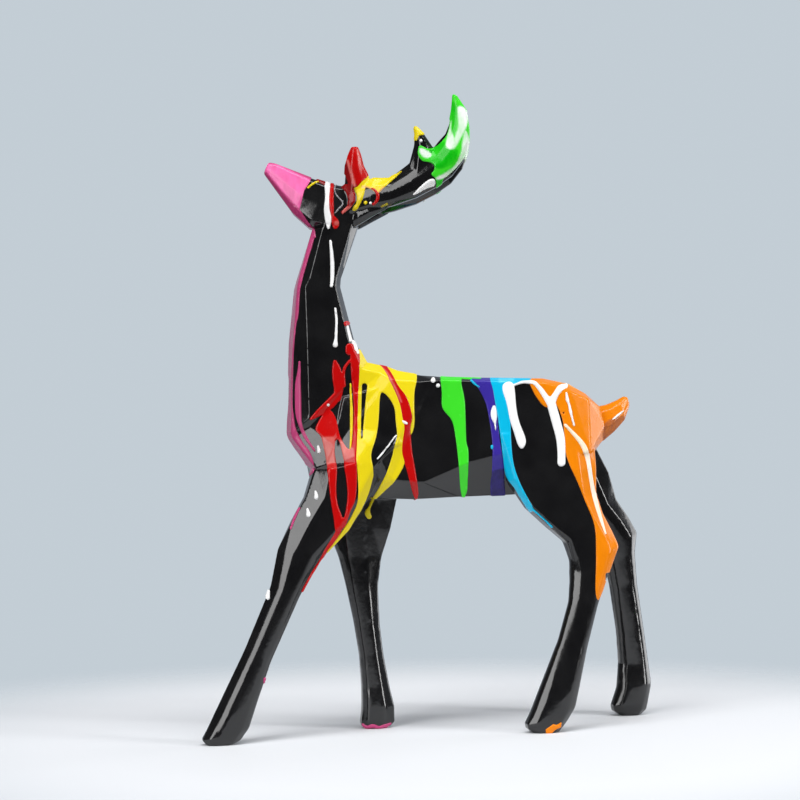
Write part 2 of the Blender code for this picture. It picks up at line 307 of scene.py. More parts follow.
def depth_in(shape, spots):
    """How far spots are inside a shape, in pixels; negative outside, and never under -MARGIN."""
    kind, points = shape
    reach = MARGIN + (points[:, 2].max() if kind == "run" else 0.0)
    low = points[:, :2].min(axis=0) - reach
    high = points[:, :2].max(axis=0) + reach
    near = np.flatnonzero(np.all((spots > low) & (spots < high), axis=1))
    measure = depth_in_run if kind == "run" else depth_in_outline
    depth = np.full(len(spots), -MARGIN)
    depth[near] = np.clip(measure(points, spots[near]), -MARGIN, None)
    return depth


# Pink: muzzle, throat and the front of the neck.
PINK = {
    "muzzle": patch(
        (262.0, 173.0), (264.0, 158.0), (276.0, 156.0), (314.0, 174.0), (311.3, 179.0), (308.5, 184.4),
        (304.2, 190.7), (302.1, 200.0), (299.7, 209.7), (292.3, 202.7), (283.0, 192.8), (266.9, 172.4),
    ),
    "jaw": patch(
        (262.0, 170.0), (267.4, 172.4), (283.0, 192.8), (292.3, 202.7), (299.9, 209.7), (308.5, 222.4),
        (314.8, 229.4), (316.0, 238.0), (304.0, 238.0), (286.0, 218.0), (258.0, 182.0),
    ),
    "throat": patch((300.0, 222.0), (314.4, 230.0), (312.8, 244.0), (306.0, 244.0), (296.0, 236.0)),
    "neck_front": pool(
        (296.0, 228.0), (314.0, 231.0), (312.8, 244.0), (308.8, 257.0), (305.6, 268.4), (302.4, 279.6),
        (300.0, 291.0), (298.4, 315.0), (296.0, 327.0), (293.3, 358.0), (292.3, 400.0), (293.6, 414.0),
        (296.0, 428.6), (302.4, 441.5), (310.4, 452.7), (314.4, 466.0), (312.0, 474.0), (300.0, 478.0),
        (270.0, 470.0), (262.0, 420.0), (266.0, 340.0), (276.0, 280.0),
    ),
    "second_drip": run(
        (299.6, 362.0, 1.0), (299.2, 371.0, 1.6), (298.0, 384.0, 2.8), (298.1, 400.0, 3.2),
        (298.5, 414.0, 3.0), (300.4, 425.0, 1.8), (305.6, 437.4, 1.7), (314.8, 451.0, 0.8),
    ),
    "leg_sliver": run((299.5, 508.0, 0.8), (294.5, 519.0, 1.2), (290.5, 529.0, 0.7)),
    "leg_drop": drop(265.0, 681.0, 1.6, 4.0),
    "far_sole": inner(run(
        (362.5, 724.5, 1.3), (367.0, 727.0, 1.5), (373.0, 726.0, 1.9), (379.0, 727.5, 1.5),
        (385.0, 726.0, 1.8), (390.5, 723.5, 1.0),
    )),
}

# Red: cheek stripe, brow tine and the forked shoulder drip.
RED = {
    "cheek_patch": patch(
        (315.5, 179.4), (320.0, 172.0), (330.0, 174.0), (326.8, 182.3), (325.3, 185.8), (319.0, 182.3),
    ),
    "cheek_stripe": run(
        (332.0, 178.0, 2.0), (332.2, 186.0, 2.0), (331.2, 200.0, 2.5), (332.0, 210.0, 2.0),
        (332.6, 217.0, 1.3),
    ),
    "cheek_drop": pool(
        (331.6, 214.0), (335.5, 217.0), (339.0, 221.5), (338.5, 227.0), (334.5, 229.0), (331.8, 224.0),
    ),
    "cheek_facet": patch(
        (340.8, 187.2), (345.0, 184.0), (352.0, 184.0), (355.6, 194.2), (355.6, 201.3), (350.7, 208.0),
        (342.2, 214.6), (341.0, 212.0), (347.0, 206.0), (348.8, 200.0), (345.6, 192.0),
    ),
    "brow_tine": pool(
        (344.0, 160.0), (351.0, 145.0), (357.0, 142.0), (361.0, 153.0), (366.0, 166.0), (368.0, 176.0),
        (362.0, 182.0), (357.0, 187.5), (350.0, 187.5), (346.0, 177.0), (343.5, 168.0),
    ),
    "ear_crescent": run(
        (372.0, 188.6, 0.9), (375.6, 190.8, 1.4), (378.0, 195.6, 1.8), (376.4, 201.5, 1.5),
        (373.0, 204.4, 1.0),
    ),
    "neck_dot": drop(346.5, 323.7, 2.8),
    "neck_blob": drop(349.7, 349.3, 4.2, 3.5),
    "fork_left": run(
        (335.0, 362.0, 2.0), (336.6, 370.0, 4.6), (337.4, 380.0, 4.8), (338.6, 389.0, 4.6),
        (337.5, 398.0, 4.0),
    ),
    "fork_right": run((349.5, 361.0, 1.4), (344.5, 368.0, 1.5), (343.0, 376.0, 2.0), (343.5, 385.0, 2.4)),
    "fork_tail": run((337.0, 396.0, 4.4), (330.0, 404.0, 5.0), (320.0, 412.0, 3.6), (311.0, 419.0, 1.2)),
    "chest": pool(
        (327.0, 410.0), (332.0, 411.5), (336.5, 420.0), (338.5, 430.0), (341.0, 438.0), (347.3, 448.0),
        (353.0, 450.0), (355.0, 458.0), (352.0, 465.0), (345.0, 463.0), (342.0, 452.0), (338.6, 440.5),
        (335.4, 441.5), (334.8, 452.0), (336.0, 466.0), (328.0, 468.0), (324.6, 452.0), (321.0, 437.0),
        (315.4, 430.0), (318.5, 421.0), (323.0, 414.0),
    ),
    "main_drip": pool(
        (350.5, 352.0), (358.0, 352.0), (359.5, 362.0), (359.8, 376.0), (358.9, 392.0), (358.4, 410.0),
        (358.2, 430.0), (357.7, 446.0), (357.0, 460.0), (357.0, 480.0), (355.5, 499.0), (350.0, 512.0),
        (345.0, 526.0), (341.0, 527.0), (345.5, 512.0), (347.5, 495.0), (346.0, 478.0), (344.0, 462.0),
        (350.0, 449.0), (352.6, 436.0), (353.6, 406.0), (352.0, 384.0), (351.0, 371.0),
    ),
    "left_drip": pool(
        (327.0, 460.0), (336.5, 463.0), (336.4, 490.0), (338.0, 505.0), (343.0, 520.0), (340.0, 531.0),
        (335.5, 531.0), (333.6, 518.0), (330.6, 500.0), (328.8, 484.0),
    ),
    "leg_rear": run(
        (344.0, 520.0, 2.4), (335.0, 537.0, 2.2), (326.0, 550.0, 1.4), (319.3, 561.5, 0.7),
        (311.2, 573.8, 0.6), (301.8, 591.5, 0.5),
    ),
    "withers_streak": pool(
        (372.0, 358.0), (381.0, 360.0), (390.0, 371.0), (399.0, 386.0), (407.0, 397.0), (411.6, 411.0),
        (412.2, 420.0), (410.6, 429.0), (412.2, 451.0), (415.4, 470.0), (418.5, 494.0), (414.0, 497.0),
        (406.6, 470.0), (401.0, 451.0), (403.4, 428.6), (401.8, 419.0), (398.6, 403.0), (390.6, 384.0),
        (382.5, 369.4), (374.5, 362.6),
    ),
}

# Yellow: brow, antler root, the shoulder and the tip of the middle tine.
YELLOW = {
    "brow_line": run((307.7, 188.0, 0.8), (312.7, 183.9, 0.9), (318.3, 181.6, 0.7)),
    "brow_drip": pool(
        (353.0, 185.0), (358.0, 183.0), (365.5, 184.5), (364.8, 191.4), (363.0, 198.0), (360.0, 204.5),
        (357.0, 209.7), (352.5, 211.0), (353.5, 206.5), (356.0, 203.5), (356.8, 197.0), (354.6, 191.0),
    ),
    "antler_root": pool(
        (354.5, 180.5), (358.0, 176.5), (363.0, 173.8), (369.0, 175.0), (376.0, 178.0), (384.5, 178.3),
        (392.0, 176.0), (402.0, 171.0), (397.0, 176.5), (390.0, 182.5), (382.0, 190.0), (377.5, 193.5),
        (371.0, 189.5), (363.4, 186.5), (357.0, 184.5),
    ),
    "ear_drop": drop(365.5, 202.7, 1.9),
    # A painted highlight along the antler's lower edge, in yellow enamel.
    "ear_edge_highlight": run((381.5, 206.5, 0.8), (387.0, 204.0, 1.1)),
    "ear_spot_low": drop(385.5, 212.0, 1.8),
    "hanging_bead": inner(run(
        (373.0, 499.0, 1.4), (369.5, 507.0, 1.2), (367.4, 512.5, 2.8), (369.0, 516.5, 2.6),
    )),
    "tine_tip": patch(
        (411.0, 124.0), (420.0, 124.0), (426.0, 134.4), (419.0, 135.8), (417.0, 140.7), (414.8, 140.7),
        (412.0, 132.0),
    ),
    "shoulder": pool(
        (358.0, 350.0), (366.0, 357.0), (380.0, 360.0), (396.0, 366.0), (414.0, 371.0), (417.0, 378.0),
        (414.6, 392.0), (414.3, 406.0), (414.6, 422.0), (412.2, 433.0), (405.0, 440.0), (398.0, 452.0),
        (388.0, 452.0), (372.0, 456.0), (360.0, 456.0), (355.0, 452.0), (356.0, 420.0), (357.0, 380.0),
    ),
    "thin_edge": run((350.4, 384.0, 0.7), (351.4, 410.0, 1.4), (351.4, 430.0, 1.5), (350.4, 449.0, 0.8)),
    "main_drip": pool(
        (355.0, 446.0), (371.0, 446.0), (372.5, 456.0), (374.4, 468.0), (372.0, 481.0), (368.0, 495.0),
        (362.0, 508.0), (353.0, 522.0), (345.5, 535.0), (338.0, 546.0), (330.0, 555.0), (326.5, 552.0),
        (337.0, 538.0), (345.5, 526.0), (352.5, 514.0), (358.0, 499.0), (357.5, 472.0),
    ),
    "rear_drip": run(
        (404.0, 428.0, 8.0), (398.5, 446.0, 4.4), (398.2, 460.0, 7.0), (391.5, 476.0, 5.8),
        (383.5, 487.0, 3.8), (377.5, 494.5, 2.4), (372.5, 501.0, 1.5), (368.5, 508.0, 1.0),
        (368.0, 514.0, 3.2),
    ),
}
YELLOW_GAPS = {
    "black_sliver": run((364.6, 386.0, 2.6), (363.6, 400.0, 2.0), (362.5, 420.0, 1.3), (361.7, 439.0, 0.5)),
    "black_island": pool(
        (382.5, 392.6), (389.0, 398.0), (394.3, 408.0), (395.6, 420.0), (397.0, 435.0), (395.3, 443.0),
        (390.5, 459.0), (384.5, 476.0), (379.0, 484.0), (374.0, 480.0), (373.0, 467.0), (371.3, 454.0),
        (376.0, 438.0), (378.5, 422.0), (380.0, 398.0),
    ),
}

# Green: the antler's upper half and one drip on the ribs.
GREEN = {
    "antler": pool(
        (419.7, 145.5), (428.2, 148.6), (436.6, 146.0), (443.7, 139.3), (447.9, 132.0), (450.0, 118.0),
        (447.5, 104.0), (448.5, 92.0), (455.0, 89.0), (464.0, 97.0), (471.0, 110.0), (473.0, 128.0),
        (473.0, 142.0), (467.5, 151.0), (462.5, 160.0), (455.5, 168.5), (448.5, 175.0), (443.0, 179.6),
        (441.4, 188.0), (438.0, 194.0), (435.4, 190.0), (436.2, 185.0), (435.0, 178.0), (431.2, 174.5),
        (433.8, 170.3), (434.3, 166.0), (430.6, 162.6), (422.5, 160.8), (418.0, 154.8),
    ),
    "rib_drip": pool(
        (441.0, 364.0), (462.0, 364.0), (461.5, 383.0), (465.0, 402.5), (466.3, 440.0), (468.6, 452.5),
        (467.8, 480.0), (467.0, 491.0), (463.8, 497.5), (460.6, 491.0), (458.8, 466.0), (456.0, 441.0),
        (452.0, 421.0), (442.5, 408.0), (441.8, 392.0),
    ),
    "back_smear": run((462.0, 377.0, 1.8), (470.0, 378.0, 1.3), (481.0, 379.0, 0.9)),
}

# Purple: the drip behind the green one.
PURPLE = {
    "rib_drip": pool(
        (470.0, 374.0), (500.0, 374.0), (497.5, 383.0), (495.0, 392.0), (497.0, 415.0), (500.0, 440.0),
        (503.8, 465.0), (504.0, 484.0), (501.0, 494.0), (495.5, 499.0), (491.0, 495.0), (492.3, 462.0),
        (492.0, 440.0), (487.0, 408.0), (480.0, 391.0),
    ),
    "belly_reach": pool(
        (492.0, 474.0), (503.0, 466.0), (504.6, 484.0), (505.0, 500.0), (498.0, 503.0), (491.0, 497.0),
    ),
}

# Blue: the flank in front of the thigh.
BLUE = {
    "flank": pool(
        (492.0, 374.0), (531.0, 375.0), (531.0, 380.5), (520.0, 383.0), (512.0, 389.0), (509.0, 402.0),
        (510.5, 420.0), (511.5, 445.0), (514.0, 465.0), (520.0, 482.5), (527.5, 497.5), (533.0, 508.0),
        (530.0, 512.0), (522.0, 500.0), (514.5, 487.5), (506.0, 475.0), (502.5, 453.0), (497.5, 416.0),
        (492.5, 391.0),
    ),
    "back_line": run((471.0, 380.5, 0.9), (478.8, 387.0, 0.7)),
    "rib_dot": drop(492.0, 447.0, 1.3, 2.0),
    "thigh_trace": run((531.0, 508.0, 1.4), (536.0, 512.0, 0.7), (544.0, 519.0, 0.5), (552.0, 527.0, 0.9)),
}

# Orange: rump, thigh and tail.
ORANGE = {
    "rump": pool(
        (531.0, 376.0), (566.0, 372.0), (592.0, 380.0), (606.0, 390.0), (614.0, 400.0), (613.0, 420.0),
        (606.0, 440.0), (602.0, 458.0), (600.5, 480.0), (604.0, 505.0), (612.0, 525.0), (622.0, 545.0),
        (615.0, 566.0), (607.0, 578.0), (602.0, 592.0), (598.0, 600.0), (595.5, 590.0), (596.0, 556.0),
        (594.5, 526.0), (585.0, 501.0), (577.0, 481.0), (569.5, 465.0), (565.0, 450.0), (564.0, 432.0),
        (562.0, 418.0), (556.0, 405.0), (548.8, 407.5), (542.0, 404.5), (532.5, 390.0),
    ),
    "tail": pool(
        (596.0, 392.0), (606.0, 398.0), (616.0, 396.0), (634.0, 400.0), (634.0, 414.0), (622.0, 426.0),
        (612.0, 440.0), (598.0, 452.0), (592.0, 430.0),
    ),
    "hind_sole": patch(
        (545.5, 729.5), (550.0, 726.5), (553.0, 724.0), (556.5, 725.0), (561.5, 722.0), (561.0, 727.0),
        (556.0, 729.5), (552.0, 733.0), (546.0, 733.5),
    ),
}
ORANGE_GAPS = {
    "rear_chip": drop(607.5, 577.5, 2.2, 5.0),
    "rump_dot": drop(563.4, 413.0, 0.9),
}

# White: splashes and thin drips over the other colours, and some thin lines and spots that are painted
# highlights along edges and creases.
WHITE = {
    "cheek_stripe": pool(
        (324.8, 180.0), (330.6, 180.0), (329.6, 197.0), (330.0, 210.0), (331.8, 217.0), (331.0, 224.0),
        (328.6, 229.5), (325.8, 224.0), (323.9, 210.0), (325.0, 197.0),
    ),
    "neck_long_drip": run(
        (330.4, 241.0, 1.2), (332.3, 262.0, 2.0), (332.2, 278.0, 1.9), (331.4, 286.0, 1.4),
    ),
    "neck_short_drip": run(
        (335.3, 308.4, 0.9), (336.3, 321.0, 1.1), (336.0, 336.0, 1.2), (335.3, 345.0, 2.5),
    ),
    "neck_rear_strip": run((346.6, 326.0, 0.7), (348.4, 333.0, 0.9), (350.5, 341.0, 1.1)),
    "neck_rear_splash": run((352.0, 341.0, 1.2), (354.6, 347.0, 1.9), (357.2, 353.5, 1.4)),
    "shoulder_dot": drop(327.7, 404.6, 2.0),
    "shoulder_bead": run((318.0, 446.0, 1.0), (318.8, 449.5, 1.8), (319.0, 451.5, 2.1)),
    # A thin white line that stands for the highlight along a crease behind the shoulder: painted highlight.
    "shoulder_crease_highlight": run(
        (396.0, 435.5, 0.6), (388.0, 446.0, 0.6), (380.0, 456.0, 0.6), (374.5, 462.0, 0.6),
    ),
    # A small white drop, widened by a painted glint around it.
    "shoulder_drop_and_glint": pool((401.5, 420.8), (404.5, 420.4), (407.8, 422.6), (406.6, 425.0), (403.6, 424.2)),
    "leg_drop_high": run((315.6, 491.5, 1.0), (316.2, 495.0, 1.8), (316.2, 497.5, 2.1)),
    "leg_drop_low": run((307.6, 509.0, 1.0), (308.2, 512.5, 1.8), (308.4, 515.0, 2.2)),
    "leg_dot": drop(268.0, 594.5, 1.9, 7.0),
    # A painted highlight: the long gloss band where the near antler's lower facet catches the light.
    "antler_highlight": pool(
        (412.7, 194.6), (416.5, 190.5), (421.0, 185.8), (426.5, 181.2), (431.5, 178.6), (435.0, 180.0),
        (434.4, 185.6), (429.5, 187.4), (424.0, 189.6), (418.0, 193.0),
    ),
    # A painted highlight along the cheek's facet edges, greyed by the deep tone.
    "cheek_edge_highlight": run(
        (336.0, 185.8, 0.5), (334.6, 189.5, 0.5), (337.0, 196.0, 0.5), (343.0, 202.7, 0.6),
        (338.5, 209.0, 0.5), (334.5, 213.5, 0.4),
    ),
    "tine_dot": drop(421.0, 140.7, 1.6),
    "ear_drop": drop(370.5, 203.0, 1.4),
    "back_dot": drop(433.0, 380.5, 2.4),
    "rib_dot": drop(438.0, 385.5, 2.1),
    "purple_splash": run(
        (494.0, 407.0, 1.8), (493.6, 412.0, 3.2), (494.0, 418.0, 3.0), (495.0, 424.0, 1.0),
        (495.8, 431.0, 0.6),
    ),
    "blue_drip": pool(
        (502.6, 384.5), (507.5, 382.0), (513.5, 384.0), (515.2, 394.0), (516.4, 408.0), (519.4, 422.0),
        (525.2, 437.0), (525.6, 444.0), (522.0, 448.8), (518.0, 445.0), (514.0, 433.0), (509.4, 419.0),
        (505.6, 402.0), (502.2, 391.0),
    ),
    "back_arch": run(
        (512.0, 386.0, 1.2), (519.0, 383.4, 1.0), (526.0, 382.4, 1.1), (534.0, 383.4, 1.9),
        (539.5, 388.5, 2.6), (545.5, 397.0, 3.1), (549.5, 402.5, 4.0),
    ),
    "thigh_arm": run((565.5, 386.6, 2.4), (560.0, 388.6, 3.4), (555.5, 394.5, 3.2), (552.0, 401.0, 4.2)),
    "thigh_stem": run(
        (550.5, 401.0, 4.6), (553.0, 410.0, 4.6), (556.6, 423.0, 4.6), (560.4, 438.0, 4.4),
        (561.4, 452.0, 4.0), (561.4, 462.5, 4.0),
    ),
    "rump_streak": run(
        (566.0, 393.0, 1.0), (567.2, 400.0, 1.9), (568.6, 404.0, 1.2), (570.4, 412.0, 1.7),
        (571.8, 418.0, 1.0), (573.8, 425.5, 1.2),
    ),
    "cream_streak": run(
        (565.0, 425.0, 1.5), (572.0, 432.5, 2.0), (580.0, 441.5, 2.6), (585.0, 450.0, 3.0),
        (587.8, 462.0, 2.4), (590.0, 476.0, 2.2), (592.3, 490.0, 2.3), (596.0, 505.0, 2.2),
        (600.5, 520.0, 1.8), (605.0, 534.0, 0.9),
    ),
    # A painted highlight along the ridge of the tail.
    "tail_ridge_highlight": run((612.5, 419.5, 0.8), (618.0, 415.0, 1.1), (623.0, 411.0, 0.7)),
}

# Soft patches where a colour runs paler or deeper. Most of the pale patches are painted highlights and
# reflections on facets that face the light, and most of the deep ones are painted shade on facets turned
# from it.
PALE_TONES_AND_HIGHLIGHTS = {
    "pink": {
        # The muzzle's lit side: painted light, the pink made paler where the light falls.
        "muzzle": patch(
            (262.0, 173.0), (264.0, 164.0), (270.0, 164.6), (275.6, 164.6), (311.5, 181.2), (304.2, 190.7),
            (302.1, 200.0), (299.7, 209.0), (292.3, 202.0), (283.0, 192.0), (266.9, 171.8),
        ),
    },
    "red": {
        "cheek_drop": drop(336.5, 223.0, 2.2),
        "facet_foot": patch((342.0, 208.0), (352.0, 206.0), (350.0, 212.0), (342.0, 216.0)),
        # Painted reflections of the light on the chest's facets.
        "chest_left_reflection": patch((319.0, 437.5), (334.8, 437.0), (336.0, 463.0), (323.0, 467.5)),
        "chest_right_reflection": patch((339.5, 440.0), (354.0, 449.0), (354.5, 456.5), (341.0, 462.5)),
        # Painted highlights along the brow tine's ridges and along the withers streak's edge.
        "tine_left": run((348.4, 161.0, 0.9), (352.0, 174.6, 1.1), (354.8, 185.8, 1.0)),
        "tine_right_highlight": run((356.9, 150.6, 0.8), (359.0, 164.7, 0.9)),
        "streak": run((375.5, 362.5, 0.6), (386.0, 373.0, 0.8), (394.0, 386.0, 0.8), (401.0, 402.0, 0.5)),
    },
    "yellow": {
        "root_lower": run(
            (363.0, 187.0, 1.4), (372.0, 190.0, 1.6), (378.0, 193.0, 1.4), (384.0, 188.0, 1.0),
        ),
    },
    "green": {
        # The tip, crook and rear bands are painted highlights where the antler's facets catch the light.
        "tip": pool(
            (458.2, 107.5), (462.5, 107.5), (466.2, 112.0), (467.4, 118.0), (465.2, 128.5), (459.5, 140.0),
            (455.4, 147.0), (452.6, 148.6), (455.0, 138.5), (458.4, 127.5), (458.2, 117.0),
        ),
        "crook_highlight": pool(
            (451.8, 121.0), (451.6, 129.0), (454.2, 139.0), (454.8, 145.5), (451.2, 149.4), (446.4, 146.5),
            (447.4, 138.5), (449.6, 129.0),
        ),
        "rear": pool(
            (465.0, 131.0), (468.4, 139.0), (468.6, 150.0), (464.5, 159.5), (457.0, 168.0), (448.0, 175.5),
            (438.5, 179.2), (436.0, 177.6), (445.0, 172.6), (454.5, 165.0), (460.5, 153.4), (462.5, 142.0),
        ),
        "fork": pool((420.0, 148.6), (426.0, 150.2), (431.5, 155.5), (426.5, 158.0), (421.0, 154.5)),
    },
    # A painted highlight along the top edge of the back.
    "blue": {"back": run((500.0, 381.0, 2.0), (512.0, 380.0, 2.0))},
    "white": {
        "cream": run((565.0, 425.0, 3.0), (584.0, 449.0, 4.5), (591.0, 480.0, 4.5), (605.0, 535.0, 3.0)),
    },
    "orange": {"rump_top": run((560.0, 378.0, 5.0), (585.0, 388.0, 5.0))},
}
DEEP_TONES_AND_SHADE = {
    "pink": {
        # Painted shade on the jaw's down-turned underside and along the muzzle's top edge.
        "jaw": run((270.0, 180.0, 8.0), (286.0, 204.0, 8.0), (304.0, 224.0, 8.0)),
        "nose_edge_shade": run((274.0, 161.0, 1.4), (292.0, 169.5, 1.2), (311.0, 178.0, 1.2)),
    },
    "red": {
        # Painted shade on the cheek's and brow tine's facets turned from the light.
        "cheek_patch": patch((314.0, 174.0), (330.0, 174.0), (328.0, 187.0), (316.0, 187.0)),
        "facet": patch((339.0, 184.0), (357.0, 184.0), (357.0, 205.0), (345.0, 207.0)),
        "tine_left": pool((343.0, 158.0), (349.0, 166.0), (352.0, 184.0), (344.0, 180.0)),
    },
    "yellow": {
        "brow": pool(
            (351.0, 184.0), (355.0, 186.0), (357.4, 196.0), (355.5, 204.0), (353.5, 211.0), (350.0, 212.0),
        ),
        "ear_spots": patch((378.0, 200.0), (392.0, 200.0), (392.0, 216.0), (378.0, 216.0)),
    },
    "green": {
        # Painted shade on the antler's facets turned from the light, and under it where the drip runs.
        "point": pool((452.0, 104.0), (457.0, 106.0), (457.4, 120.0), (456.0, 130.0), (452.5, 134.0)),
        "shaft_shade": pool(
            (428.0, 152.0), (444.0, 142.0), (446.0, 148.0), (458.0, 150.0), (452.0, 164.0), (436.0, 168.0),
        ),
        "drip": pool((434.0, 181.0), (442.0, 180.0), (442.0, 195.0), (434.0, 195.0)),
    },
    # Painted shade on the down-turned belly.
    "purple": {"belly": pool((486.0, 476.0), (508.0, 470.0), (514.0, 502.0), (490.0, 506.0))},
    # The grey of the painted highlight on the cheek's facet edges.
    "white": {"chevron": patch((333.0, 184.0), (346.0, 184.0), (346.0, 206.0), (333.5, 216.0))},
    # Painted shade on the tail's underside.
    "orange": {"tail_underside_shade": pool((604.0, 424.0), (626.0, 416.0), (618.0, 436.0), (604.0, 448.0))},
}

# The enamels, with their thickness in metres and their tones: the pale tone mostly paints highlights and
# reflections into the colour, and the deep tone mostly paints shade. Where two overlap, the thicker one
# shows.
COLOURS = {
    "pink": {
        "shapes": PINK,
        "thickness": 0.00055,
        "plain": (0.52, 0.060, 0.19),
        "pale": (0.92, 0.16, 0.44),
        "deep": (0.44, 0.045, 0.16),
    },
    "green": {
        "shapes": GREEN,
        "thickness": 0.00050,
        "plain": (0.050, 0.72, 0.025),
        "pale": (0.88, 0.96, 0.88),
        "deep": (0.004, 0.50, 0.006),
    },
    "purple": {
        "shapes": PURPLE,
        "thickness": 0.00045,
        "plain": (0.042, 0.025, 0.31),
        "pale": (0.12, 0.09, 0.50),
        "deep": (0.016, 0.010, 0.10),
    },
    "blue": {
        "shapes": BLUE,
        "thickness": 0.00058,
        "plain": (0.003, 0.48, 0.76),
        "pale": (0.10, 0.62, 0.88),
        "deep": (0.002, 0.30, 0.60),
    },
    "orange": {
        "shapes": ORANGE,
        "gaps": ORANGE_GAPS,
        "thickness": 0.00052,
        "plain": (0.84, 0.23, 0.002),
        "pale": (0.92, 0.36, 0.05),
        "deep": (0.42, 0.13, 0.05),
    },
    "yellow": {
        "shapes": YELLOW,
        "gaps": YELLOW_GAPS,
        "thickness": 0.00055,
        "plain": (0.80, 0.64, 0.010),
        "pale": (0.90, 0.45, 0.20),
        "deep": (0.42, 0.34, 0.01),
    },
    "red": {
        "shapes": RED,
        "thickness": 0.00075,
        "plain": (0.52, 0.003, 0.003),
        "pale": (0.66, 0.17, 0.15),
        "deep": (0.22, 0.004, 0.005),
    },
    "white": {
        "shapes": WHITE,
        "thickness": 0.00095,
        "plain": (0.92, 0.92, 0.92),
        "pale": (0.92, 0.80, 0.62),
        "deep": (0.30, 0.30, 0.32),
    },
}


# Meshes.


def mesh_object(name, places, faces):
    """A smooth-shaded object from arrays of places and faces of three corners."""
    mesh = bpy.data.meshes.new(name)
    mesh.vertices.add(len(places))
    mesh.vertices.foreach_set("co", places.astype(np.float32).ravel())
    mesh.loops.add(faces.size)
    mesh.loops.foreach_set("vertex_index", faces.astype(np.int32).ravel())
    mesh.polygons.add(len(faces))
    mesh.polygons.foreach_set("loop_start", np.arange(0, faces.size, 3, dtype=np.int32))
    mesh.polygons.foreach_set("use_smooth", np.ones(len(faces), bool))
    mesh.update(calc_edges=True)
    piece = bpy.data.objects.new(name, mesh)
    bpy.context.scene.collection.objects.link(piece)
    return piece


def modified(source, *settings):
    """A new mesh from a copy of an object's mesh with modifiers of (type, properties)."""
    stand_in = bpy.data.objects.new("stand_in", source.data.copy())
    bpy.context.scene.collection.objects.link(stand_in)
    for kind, properties in settings:
        modifier = stand_in.modifiers.new(kind.lower(), kind)
        for key, value in properties.items():
            setattr(modifier, key, value)
    graph = bpy.context.evaluated_depsgraph_get()
    mesh = bpy.data.meshes.new_from_object(stand_in.evaluated_get(graph))
    bpy.data.objects.remove(stand_in)
    return mesh


def rounded_cast(node):
    """The cast's surface as fine triangles, flat where it is flat and softly rounded along its edges."""
    mesh = modified(
        node,
        ("REMESH", {"mode": "VOXEL", "voxel_size": VOXEL}),
        ("SHRINKWRAP", {"target": node, "wrap_method": "NEAREST_SURFACEPOINT"}),
        ("SMOOTH", {"factor": SMOOTHING, "iterations": EDGE_PASSES}),
        ("TRIANGULATE", {}),
    )
    places = np.empty(len(mesh.vertices) * 3)
    mesh.vertices.foreach_get("co", places)
    normals = np.empty(len(mesh.vertices) * 3)
    mesh.vertex_normals.foreach_get("vector", normals)
    corners = np.empty(len(mesh.loops), np.int64)
    mesh.loops.foreach_get("vertex_index", corners)
    bpy.data.meshes.remove(mesh)
    places, normals, faces = places.reshape(-1, 3), normals.reshape(-1, 3), corners.reshape(-1, 3)
    return with_soft_legs(places, normals, faces)


def face_normals(places, faces):
    """Each face's normal, with twice the face's area as its length."""
    p0, p1, p2 = (places[faces[:, i]] for i in range(3))
    return np.cross(p1 - p0, p2 - p0)


def vertex_sums(vectors, faces, count):
    """The sum of the faces' vectors around each vertex."""
    total = np.zeros((count, 3))
    for i in range(3):
        for axis in range(3):
            total[:, axis] += np.bincount(faces[:, i], vectors[:, axis], count)
    return total


def edges_of(faces):
    """Each face's three edges, as pairs of vertices."""
    return np.vstack([faces[:, (i, (i + 1) % 3)] for i in range(3)])


def with_soft_legs(places, normals, faces):
    """The legs' edges rounded further, where the enamel lies thickest, with the soles kept flat."""
    height = places[:, 2]
    share = np.interp(height, SOLE_HEIGHTS, (0.0, 1.0)) * np.interp(height, LEG_HEIGHTS, (1.0, 0.0))
    share = share[:, None]
    start, end = edges_of(faces).T
    count = len(places)
    neighbours = np.bincount(start, minlength=count)[:, None]
    for _ in range(LEG_PASSES):
        total = np.stack([np.bincount(start, places[end, axis], count) for axis in range(3)], axis=1)
        places = places + SMOOTHING * share * (total / neighbours - places)
    fresh = vertex_sums(face_normals(places, faces), faces, count)
    fresh /= np.maximum(np.linalg.norm(fresh, axis=1), LEAST_NORMAL)[:, None]
    return places, np.where(share > 0.0, fresh, normals), faces


def mirrored(places):
    """Far-side places carried to the near side, and how far each was beyond the middle plane."""
    angle = -HEAD_TURN * np.interp(places[:, 2], TURN_HEIGHTS, TURN_SHARES)
    normal = np.stack((-np.sin(angle), np.cos(angle), np.zeros(len(places))), axis=1)
    across = np.einsum("ij,ij->i", places - (HEAD_PIVOT_X, 0.0, 0.0), normal)
    beyond = np.clip(across, 0.0, None)
    return places - 2 * beyond[:, None] * normal, across


def ramp(value, length):
    """0 up to a value of 0, then rising evenly to 1 at the given length."""
    return np.clip(value / length, 0.0, 1.0)


